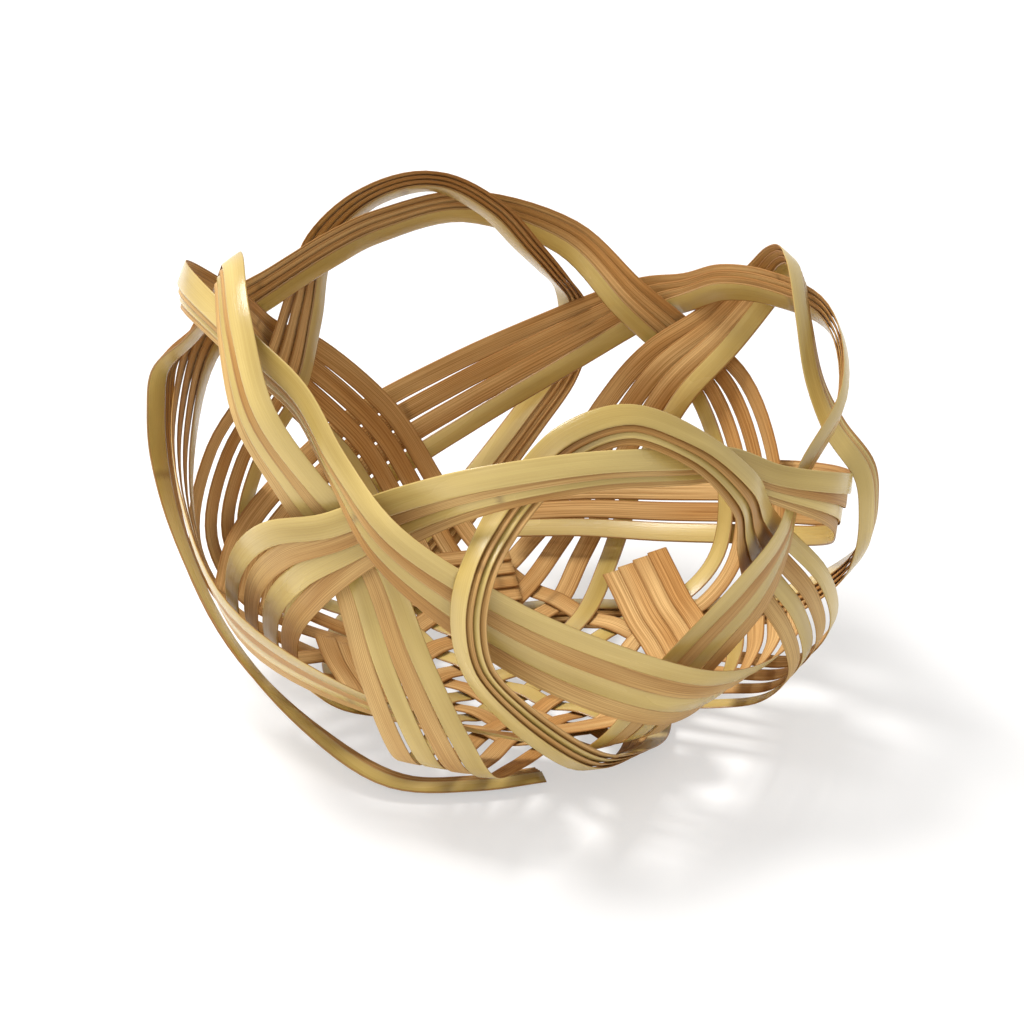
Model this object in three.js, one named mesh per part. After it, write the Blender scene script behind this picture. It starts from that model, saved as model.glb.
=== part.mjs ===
// A round bamboo basket with four wave loops, woven from sixteen split bamboo strips.
// Lengths are in millimetres and +Z is up.
import * as THREE from 'three';

// The strip stock
const STRIP_WIDTH = 5.5;
const STRIP_THICKNESS = 0.46;
const LAYER_CLEARANCE = 0.39;

// The base, a square plain weave in the bottom of a shallow bowl
const STRIPS_PER_BUNDLE = 4;
const WEAVE_PITCH = 9.7;
const WEAVE_RISE = 0.7;
const BASE_HEIGHT = 6.4;
const BOWL_RISE = 19.8;
const TUCK_LIFT = 2.9;

// The body
const BODY_RADIUS = 76;
const WAVE_HEIGHT = 118;

// How the hand-made body strays from a true round, as shares, each with the way it points
const LEAN_SHARE = 0.046;
const LEAN_DIRECTION = 154;
const OVAL_SHARE = 0.03;
const OVAL_DIRECTION = 205;
const TALLER_SHARE = 0.086;
const TALLER_DIRECTION = 171;
const SADDLE_SHARE = 0.033;

// The body repeats at every wave, and a side of the base faces a little ahead of its wave
const WAVES = 4;
const WAVE_TURN = 360 / WAVES;
const FIRST_WAVE = -65;
const SIDE_LEAD = 27;
const WAVE_NAMES = ['front', 'right', 'back', 'left'];

// A strip's two ends as they leave the base. Each row has degrees from the wave, the reach
// and height as shares of the body's, the tilt of the strip's face above level and its swing
// from straight outward in degrees, and the step from strip to strip as a share of a width.
// The loop climbs over the wave and comes back down outside the body to make a foot.
const LOOP_SHARES = [
  [53, 0.750, 0.127, -70, 0, 1.45],
  [51, 0.932, 0.165, -58, 0, 1.25],
  [49, 1.047, 0.271, -32, 0, 1.2],
  [43, 1.043, 0.424, -10, 0, 1.1],
  [33.5, 0.961, 0.589, 2, 5, 0.9],
  [24.3, 1.016, 0.712, 10, 6, 0.64],
  [17.5, 1.074, 0.835, 20, 14, 0.44],
  [8.5, 1.022, 0.949, 38, 18, 0.3],
  [-4, 0.947, 1.000, 54, -12, 0.25],
  [-16, 0.926, 0.945, 42, -34, 0.25],
  [-24.5, 0.961, 0.846, 26, -42, 0.25],
  [-29.6, 1.043, 0.763, 14, -42, 0.25],
  [-32.4, 1.155, 0.681, 6, -40, 0.25],
  [-33, 1.179, 0.593, 0, -38, 0.25],
  [-31.5, 1.168, 0.492, -8, -36, 0.25],
  [-25, 1.097, 0.366, -24, -22, 0.27],
  [-11, 0.939, 0.195, -50, -6, 0.32],
  [9, 0.776, 0.081, -74, 0, 0.38],
  [32, 0.697, 0.024, -88, 0, 0.4],
  [52, 0.605, 0.020, -90, 0, 0.4],
  [73, 0.539, 0.020, -90, 0, 0.4],
];
// The sweep climbs over the wave before, then runs down and round inside the next loops.
const SWEEP_SHARES = [
  [-90, 0.737, 0.144, -66, 0, 1.45],
  [-87, 0.882, 0.237, -44, 0, 1.25],
  [-80, 0.967, 0.390, -14, 0, 1.15],
  [-67, 1.037, 0.551, 0, 0, 1],
  [-57, 1.029, 0.640, 4, 0, 0.6],
  [-46, 0.992, 0.737, 8, 0, 0.45],
  [-32, 1.059, 0.852, 16, 0, 0.34],
  [-12, 1.033, 0.921, 26, 0, 0.25],
  [8, 0.964, 0.895, 22, 0, 0.25],
  [20, 0.945, 0.860, 16, 0, 0.25],
  [31.5, 1.008, 0.786, 10, 0, 0.28],
  [43.5, 1.111, 0.702, 6, 0, 0.5],
  [60, 1.087, 0.572, 0, 0, 0.8],
  [78, 1.053, 0.453, -8, 0, 1],
  [98, 1.026, 0.343, -22, 0, 1.1],
  [120, 0.921, 0.271, -38, 0, 1.12],
  [141, 0.863, 0.242, -50, 0, 1.1],
  [159, 0.850, 0.220, -57, 0, 1.03],
];

// A bundle's cut ends lie flat inside, just above the corner of the base past the foot, so
// these rows leave out the height and the swing.
const TUCK_SHARES = [
  [68, 0.566, -74, 0.8],
  [83, 0.555, -74, 0.8],
  [98, 0.572, -74, 0.8],
  [111, 0.632, -72, 0.8],
  [121, 0.711, -70, 0.8],
];

// Each foot reaches out by its own share of the common path, from the lower leg down
const FOOT_REACH_SHARES = [0.76, 1, 1, 1.03];
const FOOT_STARTS_ROW = 16;
const FOOT_FULL_ROW = 18;

const LAYER_PITCH = STRIP_THICKNESS + LAYER_CLEARANCE;
const BUNDLE_CENTRE = (STRIPS_PER_BUNDLE - 1) / 2;
// Strips closer together than the closed share lie in layers, and past the open share in one
const CLOSED_SHARE = 1.06;
const OPEN_SHARE = 1.4;
const CROSSINGS = 2 * STRIPS_PER_BUNDLE;
const RINGS_PER_SPAN = 2;
const FACE_DOWN = -90;

const up = new THREE.Vector3(0, 0, 1);

function polar(degrees, radius, height) {
  const angle = THREE.MathUtils.degToRad(degrees);
  return new THREE.Vector3(radius * Math.cos(angle), radius * Math.sin(angle), height);
}

// The way a strip's face looks at a point, tilted above level and swung from straight outward
function faceNormal(point, tilt, swing) {
  const angle = THREE.MathUtils.degToRad(tilt);
  const outward = new THREE.Vector3(point.x, point.y, 0).normalize();
  outward.applyAxisAngle(up, THREE.MathUtils.degToRad(swing));
  return outward.multiplyScalar(Math.cos(angle)).addScaledVector(up, Math.sin(angle));
}

function squareTo(direction, tangent) {
  return direction.addScaledVector(tangent, -direction.dot(tangent)).normalize();
}

function bowlHeight(radius) {
  return BASE_HEIGHT + BOWL_RISE * (radius / BODY_RADIUS) ** 2;
}

// A knot is a point that a strip passes through, with the tilt and swing of its face there
function baseKnot(place, crossing, wave) {
  const offset = (place + 0.5) * WEAVE_PITCH;
  const along = (crossing - (CROSSINGS - 1) / 2) * WEAVE_PITCH;
  const point = polar(wave + SIDE_LEAD, along, 0);
  point.add(polar(wave + SIDE_LEAD + WAVE_TURN, offset, 0));
  const radius = Math.hypot(point.x, point.y);
  const slope = (2 * BOWL_RISE * radius) / BODY_RADIUS ** 2;
  const tilt = FACE_DOWN + THREE.MathUtils.radToDeg(Math.atan(slope));
  point.z = bowlHeight(radius);
  const side = (place + crossing) % 2 === 0 ? 1 : -1;
  point.addScaledVector(faceNormal(point, tilt, 0), side * WEAVE_RISE);
  return { point, tilt, swing: 0 };
}

// The knots of one strip of a bundle along the rows of a loop or a sweep
function bundleKnots(rows, place, wave, hand, foot = 1) {
  const middles = rows.map(([degrees, reach, height], row) => {
    const lower = THREE.MathUtils.smoothstep(row, FOOT_STARTS_ROW, FOOT_FULL_ROW);
    const radius = reach * BODY_RADIUS * THREE.MathUtils.lerp(1, foot, lower);
    return polar(wave + degrees, radius, height * WAVE_HEIGHT);
  });
  return rows.map(([, , , tilt, swing, step], index) => {
    const before = middles[Math.max(index - 1, 0)];
    const after = middles[Math.min(index + 1, middles.length - 1)];
    const tangent = after.clone().sub(before).normalize();
    const normal = squareTo(faceNormal(middles[index], tilt, swing), tangent);
    const across = new THREE.Vector3().crossVectors(tangent, normal);
    const rank = place - BUNDLE_CENTRE;
    const point = middles[index].clone();
    point.addScaledVector(across, hand * rank * step * STRIP_WIDTH);
    const layered = 1 - THREE.MathUtils.smoothstep(step, CLOSED_SHARE, OPEN_SHARE);
    point.addScaledVector(normal, rank * LAYER_PITCH * layered);
    return { point, tilt, swing };
  });
}

function stripKnots(place, wave, foot) {
  const loop = bundleKnots(LOOP_SHARES, place, wave, 1, foot).reverse();
  const sweep = bundleKnots(SWEEP_SHARES, place, wave - WAVE_TURN, -1);
  const base = [];
  for (let crossing = CROSSINGS - 1; crossing >= 0; crossing -= 1) {
    base.push(baseKnot(place, crossing, wave));
  }
  return [...loop, ...base, ...sweep];
}

function tuckKnots(place, wave) {
  const rows = TUCK_SHARES.map(([degrees, reach, tilt, step]) => {
    const height = bowlHeight(reach * BODY_RADIUS) + TUCK_LIFT;
    return [degrees, reach, height / WAVE_HEIGHT, tilt, 0, step];
  });
  return bundleKnots(rows, place, wave, 1);
}

// The hand-made body: leaning, slightly oval, and with waves that stand higher on one side
function handShape(point) {
  const angle = THREE.MathUtils.radToDeg(Math.atan2(point.y, point.x));
  const cosine = (degrees) => Math.cos(THREE.MathUtils.degToRad(degrees));
  const amount = Math.min(Math.hypot(point.x, point.y) / BODY_RADIUS, 1);
  const lean = LEAN_SHARE * cosine(angle - LEAN_DIRECTION);
  const oval = cosine(2 * (angle - OVAL_DIRECTION));
  const taller = TALLER_SHARE * cosine(angle - TALLER_DIRECTION) + SADDLE_SHARE * oval;
  const wider = 1 + (lean + OVAL_SHARE * oval) * amount;
  return new THREE.Vector3(point.x * wider, point.y * wider, point.z * (1 + taller * amount));
}

// One strip as a closed ribbon with a square-cut section
function stripGeometry(knots) {
  const curve = new THREE.CatmullRomCurve3(knots.map((knot) => knot.point));
  const steps = (knots.length - 1) * RINGS_PER_SPAN;
  const corners = [[-1, -1], [1, -1], [1, 1], [-1, 1]];
  const positions = [];
  for (let step = 0; step <= steps; step += 1) {
    const point = curve.getPoint(step / steps);
    const tangent = curve.getTangent(step / steps);
    const span = Math.min(Math.floor(step / RINGS_PER_SPAN), knots.length - 2);
    const share = step / RINGS_PER_SPAN - span;
    const tilt = THREE.MathUtils.lerp(knots[span].tilt, knots[span + 1].tilt, share);
    const swing = THREE.MathUtils.lerp(knots[span].swing, knots[span + 1].swing, share);
    const normal = squareTo(faceNormal(point, tilt, swing), tangent);
    const across = new THREE.Vector3().crossVectors(tangent, normal);
    for (const [side, face] of corners) {
      const corner = point.clone();
      corner.addScaledVector(across, (side * STRIP_WIDTH) / 2);
      corner.addScaledVector(normal, (face * STRIP_THICKNESS) / 2);
      positions.push(...handShape(corner).toArray());
    }
  }
  const indices = [];
  const count = corners.length;
  for (let step = 0; step < steps; step += 1) {
    for (let corner = 0; corner < count; corner += 1) {
      const here = step * count + corner;
      const beside = step * count + ((corner + 1) % count);
      indices.push(here, beside + count, beside);
      indices.push(here, here + count, beside + count);
    }
  }
  const last = steps * count;
  indices.push(0, 1, 2, 0, 2, 3);
  indices.push(last, last + 2, last + 1, last, last + 3, last + 2);
  const geometry = new THREE.BufferGeometry();
  geometry.setAttribute('position', new THREE.Float32BufferAttribute(positions, 3));
  geometry.setIndex(indices);
  geometry.computeVertexNormals();
  return geometry;
}

const basket = new THREE.Group();
basket.name = 'bamboo_wave_basket';

function addStrip(name, knots) {
  const material = new THREE.MeshStandardMaterial({ color: '#c9a566', roughness: 0.5 });
  material.name = 'split_bamboo';
  const strip = new THREE.Mesh(stripGeometry(knots), material);
  strip.name = name;
  basket.add(strip);
}

WAVE_NAMES.forEach((name, index) => {
  const wave = FIRST_WAVE + index * WAVE_TURN;
  for (let place = 0; place < STRIPS_PER_BUNDLE; place += 1) {
    addStrip(`${name}_strip_${place + 1}`, stripKnots(place, wave, FOOT_REACH_SHARES[index]));
    addStrip(`${name}_tuck_${place + 1}`, tuckKnots(place, wave));
  }
});

// The part stands on its lowest foot, with the middle of its outline over the origin
const bounds = new THREE.Box3().setFromObject(basket);
const middle = bounds.getCenter(new THREE.Vector3());
for (const strip of basket.children) {
  strip.geometry.translate(-middle.x, -middle.y, -bounds.min.z);
}

export default basket;
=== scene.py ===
# %% [markdown]
# A small round basket, woven from sixteen strips of split bamboo, on a pale studio floor.
# Eight ends of strips leave each side of a plain-woven base. They climb the wall, turn over in
# four waves at the rim, and go back down: one bundle outside, to make a foot, and one inside,
# along the foot of the wall. This lesson rebuilds each strip as a smooth ribbon of its own.

# %% Load the frame
import math
from collections import namedtuple

import bmesh
import bpy
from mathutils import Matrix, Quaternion, Vector


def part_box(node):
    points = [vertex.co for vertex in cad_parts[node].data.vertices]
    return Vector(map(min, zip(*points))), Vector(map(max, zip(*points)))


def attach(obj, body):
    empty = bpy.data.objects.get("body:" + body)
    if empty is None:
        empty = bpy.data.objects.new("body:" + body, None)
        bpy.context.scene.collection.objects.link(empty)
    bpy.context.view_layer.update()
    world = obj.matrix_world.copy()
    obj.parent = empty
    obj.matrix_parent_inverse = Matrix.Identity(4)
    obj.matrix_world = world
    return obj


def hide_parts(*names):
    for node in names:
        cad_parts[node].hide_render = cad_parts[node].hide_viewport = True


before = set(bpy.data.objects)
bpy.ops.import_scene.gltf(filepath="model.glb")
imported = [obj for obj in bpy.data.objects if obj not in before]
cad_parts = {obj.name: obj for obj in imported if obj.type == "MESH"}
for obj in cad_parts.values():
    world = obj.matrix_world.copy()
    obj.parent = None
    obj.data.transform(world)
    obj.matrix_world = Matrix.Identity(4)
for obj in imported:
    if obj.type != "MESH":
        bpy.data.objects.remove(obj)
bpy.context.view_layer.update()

# %% [markdown]
# The camera comes first, because every later choice is judged through it. The photograph was
# taken from about 26 degrees above the table with a long lens, so the far rim is hardly smaller
# than the near one. The frame is square, and the sensor is 36 mm wide. Blender takes the lens and
# the sensor in millimetres, every other length in metres, and angles such as the roll in radians.

# %% Set the camera
MM = 0.001
IMAGE_SIZE = 1024
SENSOR_WIDTH = 36.0
FOCAL_PIXELS = 3055.0
OPTICAL_CENTRE = (524.0, 513.0)
CAMERA_DISTANCE = 778 * MM
CAMERA_ELEVATION = math.radians(26.3)
CAMERA_ROLL = 0.025
CAMERA_TARGET = Vector((3.95, -1.35, 54.3)) * MM
NEAREST_VIEW = 10 * MM

camera_data = bpy.data.cameras.new("camera")
camera = bpy.data.objects.new("camera", camera_data)
bpy.context.scene.collection.objects.link(camera)
camera_data.sensor_width = SENSOR_WIDTH
camera_data.lens = FOCAL_PIXELS * SENSOR_WIDTH / IMAGE_SIZE
camera_data.shift_x = (IMAGE_SIZE / 2 - OPTICAL_CENTRE[0]) / IMAGE_SIZE
camera_data.shift_y = (OPTICAL_CENTRE[1] - IMAGE_SIZE / 2) / IMAGE_SIZE
camera_data.clip_start = NEAREST_VIEW
backwards = Vector((0, -math.cos(CAMERA_ELEVATION), math.sin(CAMERA_ELEVATION)))
camera.location = CAMERA_TARGET + backwards * CAMERA_DISTANCE
roll = Quaternion((0, 0, 1), CAMERA_ROLL)
camera.rotation_euler = (backwards.to_track_quat("Z", "Y") @ roll).to_euler()
bpy.context.scene.camera = camera
print("lens in mm:", round(camera_data.lens, 1))

# %% [markdown]
# A few sizes drive the whole basket. The strips are 5.5 mm wide, as split bamboo for hand baskets
# is. The base is a shallow bowl. Each of the four waves stands a quarter turn from the next, and
# the strips of the base run 27 degrees on from their wave. These angles are in degrees.

# %% Name the sizes
STRIP_WIDTH = 5.5 * MM
STRIP_THICKNESS = 0.46 * MM
LAYER_CLEARANCE = 0.39 * MM
LAYER_PITCH = STRIP_THICKNESS + LAYER_CLEARANCE
STRIPS_PER_BUNDLE = 4
CROSSINGS = 2 * STRIPS_PER_BUNDLE
WEAVE_PITCH = 9.7 * MM
WEAVE_RISE = 0.7 * MM
BASE_HEIGHT = 6.4 * MM
BOWL_RISE = 19.8 * MM
TUCK_LIFT = 2.9 * MM
BODY_RADIUS = 76 * MM
WAVE_HEIGHT = 118 * MM
WAVE_NAMES = ("front", "right", "back", "left")
WAVE_TURN = 90
FIRST_WAVE = -65
SIDE_LEAD = 27
print("strips:", len(WAVE_NAMES) * STRIPS_PER_BUNDLE)
print("side of the base in mm:", round(CROSSINGS * WEAVE_PITCH / MM))

# %% [markdown]
# Every strip follows one path. Its middle lies in the plain weave of the base, its loop end
# climbs over one wave and makes a foot, and its sweep end climbs over the wave before. The
# tables give, row by row, the degrees from the wave, the reach and height as shares of the
# body's, the tilt and swing of the strip's face, and the step to the next strip as a share of
# its width. The tucked ends lie on the base, so their rows leave out the height and the swing.
# All are the same rows as the CAD model's, so the ribbons lie where its solids are.

# %% Write the path in rows
# Degrees, reach, height, tilt, swing and step
LOOP_SHARES = (
    (53, 0.750, 0.127, -70, 0, 1.45),
    (51, 0.932, 0.165, -58, 0, 1.25),
    (49, 1.047, 0.271, -32, 0, 1.2),
    (43, 1.043, 0.424, -10, 0, 1.1),
    (33.5, 0.961, 0.589, 2, 5, 0.9),
    (24.3, 1.016, 0.712, 10, 6, 0.64),
    (17.5, 1.074, 0.835, 20, 14, 0.44),
    (8.5, 1.022, 0.949, 38, 18, 0.3),
    (-4, 0.947, 1.000, 54, -12, 0.25),
    (-16, 0.926, 0.945, 42, -34, 0.25),
    (-24.5, 0.961, 0.846, 26, -42, 0.25),
    (-29.6, 1.043, 0.763, 14, -42, 0.25),
    (-32.4, 1.155, 0.681, 6, -40, 0.25),
    (-33, 1.179, 0.593, 0, -38, 0.25),
    (-31.5, 1.168, 0.492, -8, -36, 0.25),
    (-25, 1.097, 0.366, -24, -22, 0.27),
    (-11, 0.939, 0.195, -50, -6, 0.32),
    (9, 0.776, 0.081, -74, 0, 0.38),
    (32, 0.697, 0.024, -88, 0, 0.4),
    (52, 0.605, 0.020, -90, 0, 0.4),
    (73, 0.539, 0.020, -90, 0, 0.4),
)
SWEEP_SHARES = (
    (-90, 0.737, 0.144, -66, 0, 1.45),
    (-87, 0.882, 0.237, -44, 0, 1.25),
    (-80, 0.967, 0.390, -14, 0, 1.15),
    (-67, 1.037, 0.551, 0, 0, 1),
    (-57, 1.029, 0.640, 4, 0, 0.6),
    (-46, 0.992, 0.737, 8, 0, 0.45),
    (-32, 1.059, 0.852, 16, 0, 0.34),
    (-12, 1.033, 0.921, 26, 0, 0.25),
    (8, 0.964, 0.895, 22, 0, 0.25),
    (20, 0.945, 0.860, 16, 0, 0.25),
    (31.5, 1.008, 0.786, 10, 0, 0.28),
    (43.5, 1.111, 0.702, 6, 0, 0.5),
    (60, 1.087, 0.572, 0, 0, 0.8),
    (78, 1.053, 0.453, -8, 0, 1),
    (98, 1.026, 0.343, -22, 0, 1.1),
    (120, 0.921, 0.271, -38, 0, 1.12),
    (141, 0.863, 0.242, -50, 0, 1.1),
    (159, 0.850, 0.220, -57, 0, 1.03),
)
# Degrees, reach, tilt and step
TUCK_SHARES = (
    (68, 0.566, -74, 0.8),
    (83, 0.555, -74, 0.8),
    (98, 0.572, -74, 0.8),
    (111, 0.632, -72, 0.8),
    (121, 0.711, -70, 0.8),
)
# How far each wave's foot reaches, as a share of its rows, and the rows over which that comes in
FOOT_REACH_SHARES = (0.76, 1, 1, 1.03)
FOOT_STARTS_ROW = 16
FOOT_FULL_ROW = 18
# Strips lie in layers below the first of these steps, and in one sheet above the second
CLOSED_SHARE = 1.06
OPEN_SHARE = 1.4
print("rows:", len(LOOP_SHARES), "and", len(SWEEP_SHARES))

# %% [markdown]
# The body is not a true round: it leans, is slightly oval, and its waves stand higher on one
# side, as on a hand-made basket. A smooth change of every point does that to all the strips at
# once, so strips that clear each other before it still clear each other after it.

# %% Shape points as the hand-made body
LEAN_SHARE, LEAN_DIRECTION = 0.046, 154
OVAL_SHARE, OVAL_DIRECTION = 0.03, 205
TALLER_SHARE, TALLER_DIRECTION = 0.086, 171
SADDLE_SHARE = 0.033


def cosine(degrees):
    return math.cos(math.radians(degrees))


def hand_shape(point):
    """Where a point of the true round basket lies in the hand-made one."""
    angle = math.degrees(math.atan2(point.y, point.x))
    amount = min(math.hypot(point.x, point.y) / BODY_RADIUS, 1)
    oval = cosine(2 * (angle - OVAL_DIRECTION))
    lean = LEAN_SHARE * cosine(angle - LEAN_DIRECTION)
    taller = TALLER_SHARE * cosine(angle - TALLER_DIRECTION) + SADDLE_SHARE * oval
    wider = 1 + (lean + OVAL_SHARE * oval) * amount
    return Vector((point.x * wider, point.y * wider, point.z * (1 + taller * amount)))


print("tall side over the low one:", round((1 + TALLER_SHARE) / (1 - TALLER_SHARE), 2))

# %% [markdown]
# Four small helpers are used all along the path. A strip's face points straight out from the
# middle of the basket, then swings sideways round the upright axis and tilts up or down. Where
# one form passes into another, a share grows smoothly from 0 to 1.

# %% Point along, out and across
def polar(degrees, radius, height):
    """The point in that direction from the middle of the basket."""
    angle = math.radians(degrees)
    return Vector((radius * math.cos(angle), radius * math.sin(angle), height))


def face_normal(point, tilt, swing=0):
    """The way that a strip's outer face looks at a point."""
    outward = Vector((point.x, point.y, 0)).normalized()
    outward = Quaternion((0, 0, 1), math.radians(swing)) @ outward
    return outward * math.cos(math.radians(tilt)) + Vector((0, 0, math.sin(math.radians(tilt))))


def square_to(direction, tangent):
    """The direction, turned until it is square to the strip."""
    return (direction - tangent * direction.dot(tangent)).normalized()


def smoothstep(low, high, value):
    """A share that grows from 0 at the low value to 1 at the high one, without a corner."""
    share = min(max((value - low) / (high - low), 0), 1)
    return share * share * (3 - 2 * share)


between_rows = (FOOT_STARTS_ROW + FOOT_FULL_ROW) / 2
print("share halfway to the foot:", smoothstep(FOOT_STARTS_ROW, FOOT_FULL_ROW, between_rows))

# %% [markdown]
# A knot is a point that a strip passes through, with its face's tilt and swing there. In the base
# the knots are the crossings, alternately over and under. On the walls the four strips of a bundle
# fan out side by side, and where they crowd at a wave or a foot they lie in layers.

# %% Place the knots of the base
def bowl_height(radius):
    """How high the bowl of the base stands at that distance from its middle."""
    return BASE_HEIGHT + BOWL_RISE * (radius / BODY_RADIUS) ** 2


def base_knot(place, crossing, wave):
    """A strip's knot at one crossing, above or below the bowl, with its face along the slope."""
    along = (crossing - (CROSSINGS - 1) / 2) * WEAVE_PITCH
    point = polar(wave + SIDE_LEAD, along, 0)
    point += polar(wave + SIDE_LEAD + WAVE_TURN, (place + 0.5) * WEAVE_PITCH, 0)
    radius = math.hypot(point.x, point.y)
    slope = 2 * BOWL_RISE * radius / BODY_RADIUS ** 2
    tilt = -90 + math.degrees(math.atan(slope))
    point.z = bowl_height(radius)
    side = 1 if (place + crossing) % 2 == 0 else -1
    return point + face_normal(point, tilt) * side * WEAVE_RISE, tilt, 0


print("base height at its rim in mm:", round(bowl_height(WEAVE_PITCH * CROSSINGS / 2) / MM, 1))

# %% [markdown]
# The rows describe the middle of a bundle. Each strip stands off it by its rank, from one and a
# half steps on one side to one and a half on the other, and the hand, 1 or -1, says which side
# comes first. A layered strip also stands off it by its rank, square to the face.

# %% Place the knots of the walls
def bundle_knots(rows, place, wave, hand, foot=1):
    """The knots of one strip of a bundle, whose foot reaches out by the share given."""
    middles = []
    for index, (degrees, reach, height, _, _, _) in enumerate(rows):
        lower = smoothstep(FOOT_STARTS_ROW, FOOT_FULL_ROW, index)
        radius = reach * BODY_RADIUS * (1 + (foot - 1) * lower)
        middles.append(polar(wave + degrees, radius, height * WAVE_HEIGHT))
    rank = place - (STRIPS_PER_BUNDLE - 1) / 2
    knots = []
    for index, (_, _, _, tilt, swing, step) in enumerate(rows):
        before = middles[max(index - 1, 0)]
        after = middles[min(index + 1, len(rows) - 1)]
        tangent = (after - before).normalized()
        normal = square_to(face_normal(middles[index], tilt, swing), tangent)
        layered = 1 - smoothstep(CLOSED_SHARE, OPEN_SHARE, step)
        point = middles[index] + tangent.cross(normal) * hand * rank * step * STRIP_WIDTH
        knots.append((point + normal * rank * LAYER_PITCH * layered, tilt, swing))
    return knots


def strip_knots(place, wave, foot):
    """A whole strip: from its foot over the wave, through the base and out over the wave before."""
    loop = bundle_knots(LOOP_SHARES, place, wave, 1, foot)[::-1]
    base = [base_knot(place, crossing, wave) for crossing in range(CROSSINGS - 1, -1, -1)]
    sweep = bundle_knots(SWEEP_SHARES, place, wave - WAVE_TURN, -1)
    return loop + base + sweep


def tuck_knots(place, wave):
    """A short cut end, which lies on the bowl of the base."""
    rows = []
    for degrees, reach, tilt, step in TUCK_SHARES:
        height = (bowl_height(reach * BODY_RADIUS) + TUCK_LIFT) / WAVE_HEIGHT
        rows.append((degrees, reach, height, tilt, 0, step))
    return bundle_knots(rows, place, wave, 1)


print("knots on a strip:", len(strip_knots(0, FIRST_WAVE, 1)))

# %% [markdown]
# Between knots the strip is a springy curve. A centripetal curve passes through every knot with
# no loops or overshoot, as a bent strip does. Blender's own curves twist freely between points,
# so a ribbon whose face has to follow the wall is made ring by ring instead.

# %% Bend a smooth curve through the knots
RINGS_PER_SPAN = 7


def curve_point(points, span, share):
    """A point on the centripetal curve through the points, and its direction there."""
    first, second = points[span], points[span + 1]
    before = points[span - 1] if span > 0 else first * 2 - second
    last = len(points) - 1
    after = points[span + 2] if span + 2 <= last else second * 2 - first
    neighbours = ((before, first), (first, second), (second, after))
    gaps = [math.sqrt((b - a).length) for a, b in neighbours]
    pull_in = (first - before) / gaps[0] - (second - before) / (gaps[0] + gaps[1])
    pull_in = (pull_in + (second - first) / gaps[1]) * gaps[1]
    pull_out = (second - first) / gaps[1] - (after - first) / (gaps[1] + gaps[2])
    pull_out = (pull_out + (after - second) / gaps[2]) * gaps[1]
    square = -3 * first + 3 * second - 2 * pull_in - pull_out
    cube = 2 * first - 2 * second + pull_in + pull_out
    point = first + pull_in * share + square * share ** 2 + cube * share ** 3
    direction = pull_in + square * 2 * share + cube * 3 * share ** 2
    return point, direction.normalized()


print("rings from knot to knot:", RINGS_PER_SPAN)

# %% [markdown]
# The ribbon's section is that of a split strip: a flat pith side, a slightly crowned skin side
# and eased edges. Its corners are given as shares of half the width and half the thickness.
# Face 0 of the section runs from corner 0 to corner 1, and so on round.

# %% Draw the section of a strip
FLAT_SHARE = 0.86
EDGE_SHARE = 0.3
SHOULDER_SHARE = 0.8
SECTION = (
    (-1.0, -EDGE_SHARE),
    (-FLAT_SHARE, -1.0),
    (0.0, -1.0),
    (FLAT_SHARE, -1.0),
    (1.0, -EDGE_SHARE),
    (1.0, EDGE_SHARE),
    (FLAT_SHARE, SHOULDER_SHARE),
    (0.0, 1.0),
    (-FLAT_SHARE, SHOULDER_SHARE),
    (-1.0, EDGE_SHARE),
)
OUTER_FACES = (5, 6, 7, 8)
# The split edges and their eased corners, which the material paints darker, partly as painted shade for
# the gaps between stacked strips
CUT_FACES = (0, 3, 4, 9)
print("corners of the section:", len(SECTION))

# %% [markdown]
# Each ring of the ribbon carries the section, and the ends are cut square and closed. A UV map
# unrolls the strip, along its length and across its width, so that fibres follow it. It counts in
# strip widths, and each strip lies four of them from the next, so no two have the same grain. Two
# attributes mark the outer side, which may be the bamboo's hard skin, and the split edges, which
# the material paints darker, partly for their bare fibres and partly as painted shade for the dark
# gaps between stacked strips.

# %% Make one ribbon
UV_ROW = 4.0


def bend_rings(maker, knots, shift):
    """The rings of corners along a strip, each with its distance from the strip's start."""
    points = [knot[0] for knot in knots]
    rings, length, previous = [], 0.0, None
    for step in range((len(knots) - 1) * RINGS_PER_SPAN + 1):
        span = min(step // RINGS_PER_SPAN, len(knots) - 2)
        share = step / RINGS_PER_SPAN - span
        point, tangent = curve_point(points, span, share)
        turns = zip(knots[span][1:], knots[span + 1][1:])
        tilt, swing = [start + (end - start) * share for start, end in turns]
        normal = square_to(face_normal(point, tilt, swing), tangent)
        across = tangent.cross(normal)
        ring = []
        for side, face in SECTION:
            corner = point + across * side * STRIP_WIDTH / 2 + normal * face * STRIP_THICKNESS / 2
            ring.append(maker.verts.new(hand_shape(corner) + shift))
        length += (point - previous).length if previous else 0
        previous = point
        rings.append((ring, length))
    return rings


def skin_rings(maker, rings, row):
    """Faces from each ring to the next, unrolled in the strip's own row, and two closed ends."""
    uv_map = maker.loops.layers.uv["fibres"]
    outer = maker.faces.layers.float["outer_side"]
    cut = maker.faces.layers.float["cut_edge"]
    for (ring, start), (after, end) in zip(rings, rings[1:]):
        for corner, (side, _) in enumerate(SECTION):
            beside = (corner + 1) % len(SECTION)
            face = maker.faces.new((ring[corner], after[corner], after[beside], ring[beside]))
            face.smooth = True
            face[outer] = 1.0 if corner in OUTER_FACES else 0.0
            # Marks the split edges, which the material paints darker, partly as painted shade between
            # strips
            face[cut] = 1.0 if corner in CUT_FACES else 0.0
            far_side = SECTION[beside][0]
            places = ((start, side), (end, side), (end, far_side), (start, far_side))
            for loop, (along, across) in zip(face.loops, places):
                loop[uv_map].uv = (along / STRIP_WIDTH, across / 2 + row * UV_ROW + face[outer])
    maker.faces.new(rings[0][0])
    maker.faces.new(rings[-1][0][::-1])
    bmesh.ops.recalc_face_normals(maker, faces=maker.faces)


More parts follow.
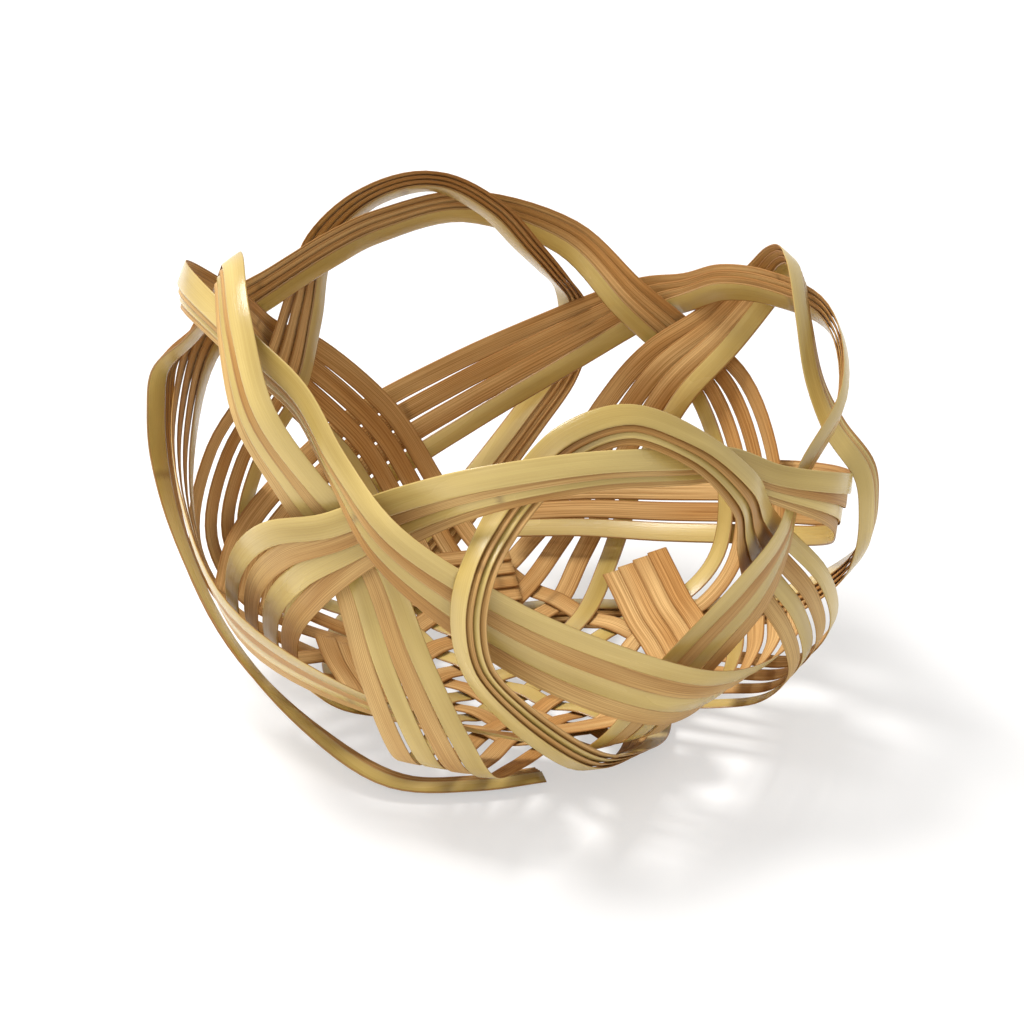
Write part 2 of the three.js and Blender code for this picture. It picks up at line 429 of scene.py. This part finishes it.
def ribbon(name, knots, row, shift):
    """One strip as an object, and its length."""
    maker = bmesh.new()
    maker.loops.layers.uv.new("fibres")
    maker.faces.layers.float.new("outer_side")
    maker.faces.layers.float.new("cut_edge")
    rings = bend_rings(maker, knots, shift)
    skin_rings(maker, rings, row)
    mesh = bpy.data.meshes.new(name)
    maker.to_mesh(mesh)
    maker.free()
    strip = bpy.data.objects.new(name, mesh)
    bpy.context.scene.collection.objects.link(strip)
    return strip, rings[-1][1]


# %% [markdown]
# The CAD model stands with the middle of its box over the origin and its lowest foot on the
# floor, so the path's own middle lies a little off the origin. A trial ribbon of the first strip
# shows by how much, and is then thrown away.

# %% Find the origin
bpy.ops.object.select_all(action="DESELECT")
first_low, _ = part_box("front_strip_1")
trial, _ = ribbon("trial", strip_knots(0, FIRST_WAVE, FOOT_REACH_SHARES[0]), 0, Vector())
trial_low = Vector([min(vertex.co[axis] for vertex in trial.data.vertices) for axis in range(3)])
shift = Vector(first_low) - trial_low
bpy.data.objects.remove(trial)
print("the body moves by, in mm:", [round(value / MM, 2) for value in shift])

# %% [markdown]
# All sixteen strips come from the same path, turned by a quarter for each wave. The cut ends of
# each bundle show as a short stack tucked flat over a corner of the base, all pith side up, as
# the second strip of a bundle lies.

# %% Weave the basket
PITH_UP_PLACE = 1
strips = []


def weave_in(node, knots, place):
    """A ribbon in the place of a node, kept with its place in the bundle, and its length."""
    strip, length = ribbon(node + "_ribbon", knots, len(strips), shift)
    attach(strip, "root")
    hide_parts(node)
    strips.append((strip, place))
    return length


for turn_number, wave_name in enumerate(WAVE_NAMES):
    wave = FIRST_WAVE + turn_number * WAVE_TURN
    for place in range(STRIPS_PER_BUNDLE):
        knots = strip_knots(place, wave, FOOT_REACH_SHARES[turn_number])
        length = weave_in(f"{wave_name}_strip_{place + 1}", knots, place)
        weave_in(f"{wave_name}_tuck_{place + 1}", tuck_knots(place, wave), PITH_UP_PLACE)
print("pieces:", len(strips), "length of the last strip in mm:", round(length / MM))

# %% [markdown]
# Split bamboo has two faces. The skin side is hard and waxy, pale yellow green, and shines. The
# pith side is matt and warm brown, with long fibres that show as fine lines. Image textures could
# show both, but nodes give lines that are sharp at any distance. One function turns hex colours to
# linear light, and another adds a node with its settings and links.

# %% Helpers for materials
WHITE = "#FFFFFF"


def linear(hex_colour):
    """A hex colour in linear light, by the standard curve of screens, and opaque."""
    values = []
    for start in (1, 3, 5):
        value = int(hex_colour[start:start + 2], 16) / 255
        values.append(value / 12.92 if value <= 0.04045 else ((value + 0.055) / 1.055) ** 2.4)
    return (*values, 1.0)


def add_node(tree, kind, settings=None, **links):
    """One node, with its settings by name, and its inputs linked or set by name or number.

    Inputs that share a name are called by number: i0 is the first. A colour Mix has its share
    in i0, its two colours in i6 and i7, and its result in output 2.
    """
    node = tree.nodes.new(kind)
    for key, value in (settings or {}).items():
        setattr(node, key, value)
    for key, value in links.items():
        numbered = key[0] == "i" and key[1:].isdigit()
        socket = node.inputs[int(key[1:])] if numbered else node.inputs[key]
        if isinstance(value, bpy.types.NodeSocket):
            tree.links.new(value, socket)
        else:
            socket.default_value = value
    return node


print("mid grey in linear light:", round(linear("#808080")[0], 3))

# %% [markdown]
# Real bundles of fibres are 0.1 to 0.2 mm across, a little too fine to show, so a strip is drawn
# with 24 lines across it, 0.23 mm each and 55 mm long. A slower noise shifts the tone in patches
# 10 mm wide and 61 mm long, so that 0.09 of one goes along each strip width. The nodes of the cane
# show as a rough brown line across a strip every 41 cm. The UV map counts in strip widths, so
# each of these lengths is set against one.

# %% Name the looks of the bamboo
FIBRES_ACROSS = 24
FIBRE_LENGTH = 55 * MM
FIBRE_SCALE = (STRIP_WIDTH / FIBRE_LENGTH, FIBRES_ACROSS, 1)
FIBRE_DETAIL = 3.0
FIBRE_ROUGHNESS = 0.65
FIBRE_RANGE = (0.35, 0.65)
PATCHES_ALONG = 0.09
PATCH_WIDTH = 10 * MM
TONE_SCALE = (PATCHES_ALONG, STRIP_WIDTH / PATCH_WIDTH, 1)
TONE_DETAIL = 2.0
TONE_ROUGHNESS = 0.5
TONE_RANGE = (0.32, 0.68)

INTERNODE = 407 * MM
CANE_OFFSET = 62.15 * MM
KNUCKLE_WIDTH = 3.08 * MM
KNUCKLE_WOBBLE = 2.75 * MM
KNUCKLE_COLOUR = "#7A5A34"
KNUCKLE_SHARE = 0.55
KNUCKLE_RELIEF = 2.0

# Split edges: browner for their bare fibres, and darker still as painted shade for the gaps between
# stacked strips
SPLIT_EDGE_AND_GAP_SHADE_COLOUR = "#8F6232"
SPLIT_EDGE_AND_GAP_SHADE_SHARE = 0.75
RELIEF_HEIGHT = 0.12 * MM
RELIEF_STRENGTH = 0.35
WEAR_ROUGHNESS = 0.12
BAMBOO_IOR = 1.5

Look = namedtuple("Look", "colour fibre fibre_share dark_tint roughness shine")
SKIN = Look("#CBB26C", "#A07A3E", 0.22, "#D8D2BC", 0.2, 0.5)
PITH = Look("#D8B278", "#9C7340", 0.85, "#DFCAB0", 0.58, 0.12)
PALE_PITH = Look("#CFAC6E", "#9E7642", 0.75, "#DCC8AC", 0.46, 0.3)
print("fibre width in mm:", round(STRIP_WIDTH / MM / FIBRES_ACROSS, 2))

# %% [markdown]
# One side of a strip has its own colour, with darker fibres drawn over it, and the slow noise
# tints it where the tone is low. A knuckle is the scar of a node of the cane. Every strip starts
# at another place along the cane, so the knuckles of a bundle don't line up.

# %% Draw a side's colour and the knuckles
def face_colour(tree, look, line, shade):
    """The colour of one side of a strip, from the fibre lines and the slow shade."""
    streak = add_node(tree, "ShaderNodeMath", {"operation": "MULTIPLY"}, i0=line, i1=look.fibre_share)
    grain = add_node(tree, "ShaderNodeMix", {"data_type": "RGBA"}, i0=streak.outputs[0],
                     i6=linear(look.colour), i7=linear(look.fibre))
    tone = add_node(tree, "ShaderNodeMix", {"data_type": "RGBA"}, i0=shade,
                    i6=linear(look.dark_tint), i7=linear(WHITE))
    toned = add_node(tree, "ShaderNodeMix", {"data_type": "RGBA", "blend_type": "MULTIPLY"},
                     i0=1.0, i6=grain.outputs[2], i7=tone.outputs[2])
    return toned.outputs[2]


def knuckles(tree, uv, fibres):
    """1 at a node of the cane, and 0 away from it, with an edge that the fibres make ragged."""
    unrolled = add_node(tree, "ShaderNodeSeparateXYZ", Vector=uv)
    across = add_node(tree, "ShaderNodeMath", {"operation": "MULTIPLY"},
                      i0=unrolled.outputs["Y"], i1=1 / UV_ROW)
    row = add_node(tree, "ShaderNodeMath", {"operation": "ROUND"}, i0=across.outputs[0])
    along = add_node(tree, "ShaderNodeMath", {"operation": "MULTIPLY_ADD"},
                     i0=row.outputs[0], i1=CANE_OFFSET / STRIP_WIDTH, i2=unrolled.outputs["X"])
    ragged = add_node(tree, "ShaderNodeMath", {"operation": "MULTIPLY_ADD"},
                      i0=fibres, i1=KNUCKLE_WOBBLE / STRIP_WIDTH, i2=along.outputs[0])
    away = add_node(tree, "ShaderNodeMath", {"operation": "PINGPONG"},
                    i0=ragged.outputs[0], i1=INTERNODE / 2 / STRIP_WIDTH)
    knuckle = add_node(tree, "ShaderNodeMapRange", i0=away.outputs[0],
                       i1=0.0, i2=KNUCKLE_WIDTH / 2 / STRIP_WIDTH, i3=1.0, i4=0.0)
    return knuckle.outputs[0]


# %% [markdown]
# The outer and the inner side each get their colour, roughness and shine, and the attribute on
# the faces says which one shows. Over both lie the knuckles, and the split edges are painted
# browner, partly as bare inner fibres are and partly as painted shade for the dark gaps between
# stacked strips. The fibres and the knuckles also stand in slight relief.

# %% Build one bamboo
def bamboo(name, outer, inner):
    """A split bamboo with the looks given on its outer and its inner side."""
    material = bpy.data.materials.new(name)
    material.use_nodes = True
    tree = material.node_tree
    tree.nodes.clear()
    uv = add_node(tree, "ShaderNodeUVMap", {"uv_map": "fibres"}).outputs["UV"]
    side = add_node(tree, "ShaderNodeAttribute", {"attribute_name": "outer_side"}).outputs["Fac"]
    edge = add_node(tree, "ShaderNodeAttribute", {"attribute_name": "cut_edge"}).outputs["Fac"]

    long_grain = add_node(tree, "ShaderNodeMapping", Vector=uv, Scale=FIBRE_SCALE)
    fibre_noise = add_node(tree, "ShaderNodeTexNoise", {"noise_dimensions": "2D"},
                           Vector=long_grain.outputs[0], Scale=1.0,
                           Detail=FIBRE_DETAIL, Roughness=FIBRE_ROUGHNESS)
    fibres = fibre_noise.outputs["Fac"]
    slow_grain = add_node(tree, "ShaderNodeMapping", Vector=uv, Scale=TONE_SCALE)
    tone_noise = add_node(tree, "ShaderNodeTexNoise", {"noise_dimensions": "2D"},
                          Vector=slow_grain.outputs[0], Scale=1.0,
                          Detail=TONE_DETAIL, Roughness=TONE_ROUGHNESS)
    tone = tone_noise.outputs["Fac"]
    line = add_node(tree, "ShaderNodeMapRange", i0=fibres, i1=FIBRE_RANGE[0], i2=FIBRE_RANGE[1])
    shade = add_node(tree, "ShaderNodeMapRange", i0=tone, i1=TONE_RANGE[0], i2=TONE_RANGE[1])
    inner_colour = face_colour(tree, inner, line.outputs[0], shade.outputs[0])
    outer_colour = face_colour(tree, outer, line.outputs[0], shade.outputs[0])
    plain = add_node(tree, "ShaderNodeMix", {"data_type": "RGBA"},
                     i0=side, i6=inner_colour, i7=outer_colour)

    knuckle = knuckles(tree, uv, fibres)
    scar = add_node(tree, "ShaderNodeMath", {"operation": "MULTIPLY"}, i0=knuckle, i1=KNUCKLE_SHARE)
    marked = add_node(tree, "ShaderNodeMix", {"data_type": "RGBA"}, i0=scar.outputs[0],
                      i6=plain.outputs[2], i7=linear(KNUCKLE_COLOUR))
    # Darken the split edges: partly their bare brown fibres, partly painted shade for the dark gaps
    # between stacked strips
    split = add_node(tree, "ShaderNodeMath", {"operation": "MULTIPLY"}, i0=edge, i1=SPLIT_EDGE_AND_GAP_SHADE_SHARE)
    coloured = add_node(tree, "ShaderNodeMix", {"data_type": "RGBA"}, i0=split.outputs[0],
                        i6=marked.outputs[2], i7=linear(SPLIT_EDGE_AND_GAP_SHADE_COLOUR))

    relief = add_node(tree, "ShaderNodeMath", {"operation": "MULTIPLY_ADD"},
                      i0=knuckle, i1=KNUCKLE_RELIEF, i2=fibres)
    bump = add_node(tree, "ShaderNodeBump", Strength=RELIEF_STRENGTH, Distance=RELIEF_HEIGHT,
                    Height=relief.outputs[0])
    rough = add_node(tree, "ShaderNodeMapRange", i0=side, i3=inner.roughness, i4=outer.roughness)
    worn = add_node(tree, "ShaderNodeMath", {"operation": "MULTIPLY_ADD"},
                    i0=tone, i1=WEAR_ROUGHNESS, i2=rough.outputs[0])
    shine = add_node(tree, "ShaderNodeMapRange", i0=side, i3=inner.shine, i4=outer.shine)
    surface = add_node(tree, "ShaderNodeBsdfPrincipled", i0=coloured.outputs[2],
                       Roughness=worn.outputs[0], Normal=bump.outputs[0], IOR=BAMBOO_IOR)
    tree.links.new(shine.outputs[0], surface.inputs["Specular IOR Level"])
    add_node(tree, "ShaderNodeOutputMaterial", Surface=surface.outputs[0])
    return material


# %% [markdown]
# The strips of a bundle alternate: the second and fourth carry their skin outwards, the first one
# inwards, and the third was split from the middle of the wall and has none. A side without skin
# is a little paler and smoother where it faces outwards, because light and hands reach it there.

# %% Give each strip its bamboo
skin_out = bamboo("split_bamboo_skin_out", outer=SKIN, inner=PITH)
skin_in = bamboo("split_bamboo_skin_in", outer=PALE_PITH, inner=SKIN)
split_twice = bamboo("split_bamboo_without_skin", outer=PALE_PITH, inner=PITH)
place_materials = (skin_in, skin_out, split_twice, skin_out)
for strip, place in strips:
    strip.data.materials.append(place_materials[place])
print("materials by place:", [material.name for material in place_materials])

# %% [markdown]
# The floor is a plain pale sheet, so wide that it fades to the white of the background. It is only
# a stage, so the basket's own shadow is the one thing that it has to show. To the camera the paper glows
# a little, as an overexposed backdrop does, which keeps that shadow faint.

# %% Lay the floor
FLOOR_SIZE = 6
PAPER_COLOUR = "#F4F2F0"
PAPER_ROUGHNESS = 0.9
PAPER_GLOW = 0.5

bpy.ops.mesh.primitive_plane_add(size=FLOOR_SIZE, location=(0, 0, 0))
floor = bpy.context.object
floor.name = "floor"
paper = bpy.data.materials.new("pale_paper")
paper.use_nodes = True
paper_tree = paper.node_tree
sheet = paper_tree.nodes["Principled BSDF"]
sheet.inputs["Base Color"].default_value = linear(PAPER_COLOUR)
sheet.inputs["Roughness"].default_value = PAPER_ROUGHNESS
paper_rays = add_node(paper_tree, "ShaderNodeLightPath")
paper_seen = add_node(paper_tree, "ShaderNodeMath", {"operation": "MULTIPLY"},
                      i0=paper_rays.outputs["Is Camera Ray"], i1=PAPER_GLOW)
glow = add_node(paper_tree, "ShaderNodeEmission", Color=linear(WHITE), Strength=1.0)
paper_mix = add_node(paper_tree, "ShaderNodeMixShader", i0=paper_seen.outputs[0],
                     i1=sheet.outputs[0], i2=glow.outputs[0])
paper_tree.links.new(paper_mix.outputs[0], paper_tree.nodes["Material Output"].inputs["Surface"])
floor.data.materials.append(paper)
print("floor side in m:", FLOOR_SIZE)

# %% [markdown]
# The light is a large soft window at the left and behind, which throws the shadow to the right
# and puts a sheen on the waves, with a broad weak fill from the front. Places and sizes are in
# metres, and power is in watts.

# %% Light the studio
LIGHT_TARGET = (0, 0, 0.05)
WINDOW_PLACE, WINDOW_SIZE, WINDOW_POWER = (-0.52, 0.14, 1.08), 0.44, 15.5
FILL_PLACE, FILL_SIZE, FILL_POWER = (-0.5, -1.1, 0.8), 0.8, 3.5


def softbox(name, place, size, power):
    """A square soft light that looks at the basket."""
    data = bpy.data.lights.new(name, "AREA")
    data.shape = "SQUARE"
    data.size = size
    data.energy = power
    light = bpy.data.objects.new(name, data)
    bpy.context.scene.collection.objects.link(light)
    light.location = place
    away = Vector(place) - Vector(LIGHT_TARGET)
    light.rotation_euler = away.to_track_quat("Z", "Y").to_euler()


softbox("window", WINDOW_PLACE, WINDOW_SIZE, WINDOW_POWER)
softbox("fill", FILL_PLACE, FILL_SIZE, FILL_POWER)
print("lamps in W:", WINDOW_POWER, "and", FILL_POWER)

# %% [markdown]
# The world gives the rest of the light, evenly from all sides. To the camera and in gloss it is
# plain white, so the background is white without more light on the basket.

# %% Fill the room with light
ROOM_LIGHT = 0.68

world = bpy.data.worlds.new("studio")
bpy.context.scene.world = world
world.use_nodes = True
world_tree = world.node_tree
world_tree.nodes.clear()
rays = add_node(world_tree, "ShaderNodeLightPath")
seen = add_node(world_tree, "ShaderNodeMath", {"operation": "MAXIMUM"},
                i0=rays.outputs["Is Camera Ray"], i1=rays.outputs["Is Glossy Ray"])
room = add_node(world_tree, "ShaderNodeBackground", Color=linear(WHITE), Strength=ROOM_LIGHT)
white = add_node(world_tree, "ShaderNodeBackground", Color=linear(WHITE), Strength=1.0)
mixed = add_node(world_tree, "ShaderNodeMixShader", i0=seen.outputs[0], i1=room.outputs[0],
                 i2=white.outputs[0])
add_node(world_tree, "ShaderNodeOutputWorld", Surface=mixed.outputs[0])
bpy.context.scene.view_settings.view_transform = "Standard"
print("room light:", ROOM_LIGHT)
